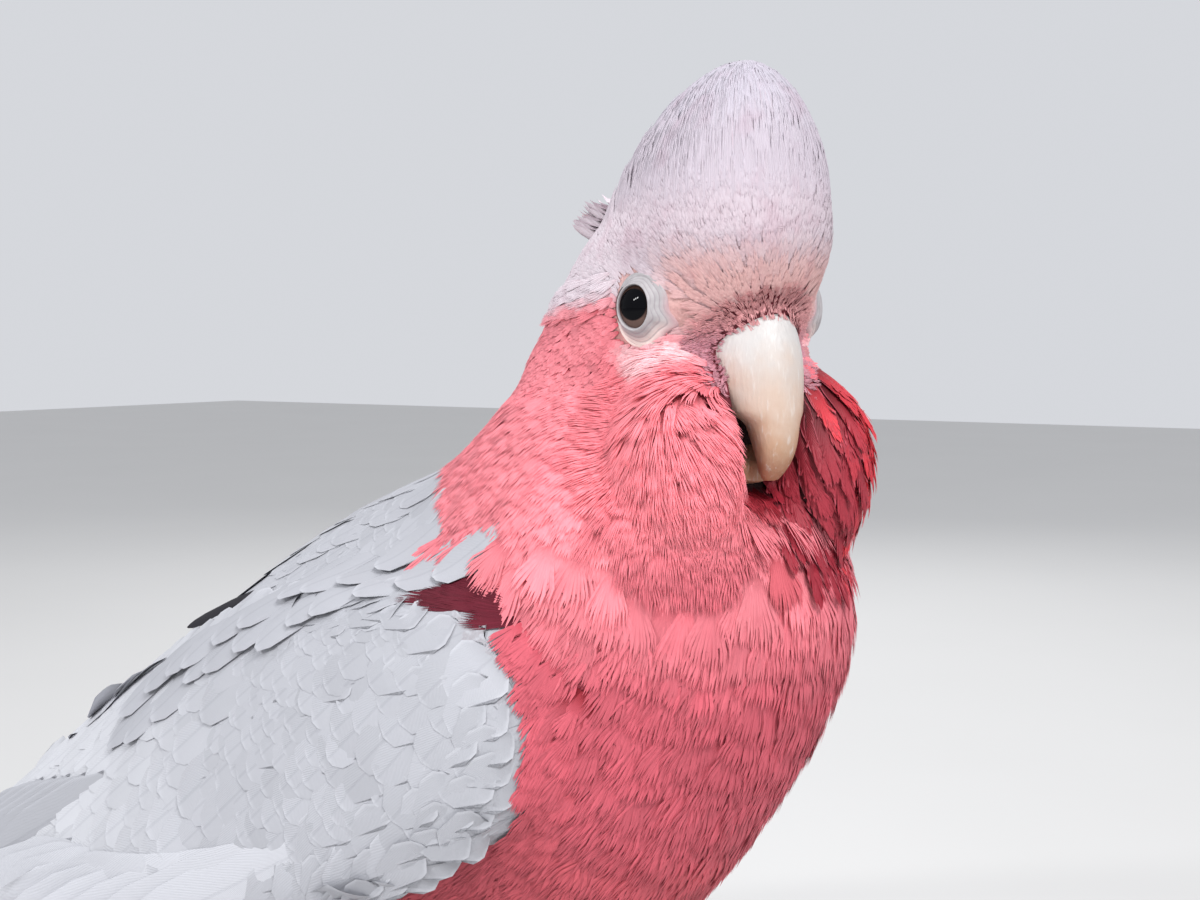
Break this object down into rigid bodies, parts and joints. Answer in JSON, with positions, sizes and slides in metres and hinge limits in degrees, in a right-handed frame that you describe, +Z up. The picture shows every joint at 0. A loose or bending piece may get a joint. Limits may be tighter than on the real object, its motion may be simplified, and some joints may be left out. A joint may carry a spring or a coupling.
{
  "type": "galah",
  "caption": "Life-size still model of a galah, a pink and grey cockatoo, standing with its crest raised and its head turned.",
  "frame": {"origin": "on the floor, under the middle of the bird's bounding box", "axes": "+Z up, the body faces -Y, the bird's left is +X"},
  "size_m": [0.1078, 0.3128, 0.2284],
  "materials": {
    "rose_feathers": "soft matt body feathers, coral to rose pink",
    "crown_feathers": "pale lavender pink crest feathers, matt",
    "grey_feathers": "pale grey covert feathers, matt",
    "flight_feathers": "darker grey flight and tail feathers, matt",
    "bill_horn": "horn coloured bill, satin",
    "eye_wet": "wet dark eye, glossy",
    "lid_skin": "bare pale grey skin round the eye",
    "foot_scales": "scaly grey skin of the feet",
    "claw_horn": "dark horn of the claws, satin"
  },
  "bodies": {
    "root": {"trunk": "rose_feathers", "neck": "rose_feathers", "head": "rose_feathers", "crest": "crown_feathers", "bill_upper": "bill_horn", "bill_lower": "bill_horn", "tail": "flight_feathers", "cheek_right": "rose_feathers", "eye_right": "eye_wet", "eye_ring_right": "lid_skin", "wing_coverts_right": "grey_feathers", "wing_flight_right": "flight_feathers", "thigh_right": "rose_feathers", "foot_right": "foot_scales", "claw_right_inner_front": "claw_horn", "claw_right_outer_front": "claw_horn", "claw_right_outer_back": "claw_horn", "claw_right_inner_back": "claw_horn", "cheek_left": "rose_feathers", "eye_left": "eye_wet", "eye_ring_left": "lid_skin", "wing_coverts_left": "grey_feathers", "wing_flight_left": "flight_feathers", "thigh_left": "rose_feathers", "foot_left": "foot_scales", "claw_left_inner_front": "claw_horn", "claw_left_outer_front": "claw_horn", "claw_left_outer_back": "claw_horn", "claw_left_inner_back": "claw_horn"}
  },
  "joints": []
}
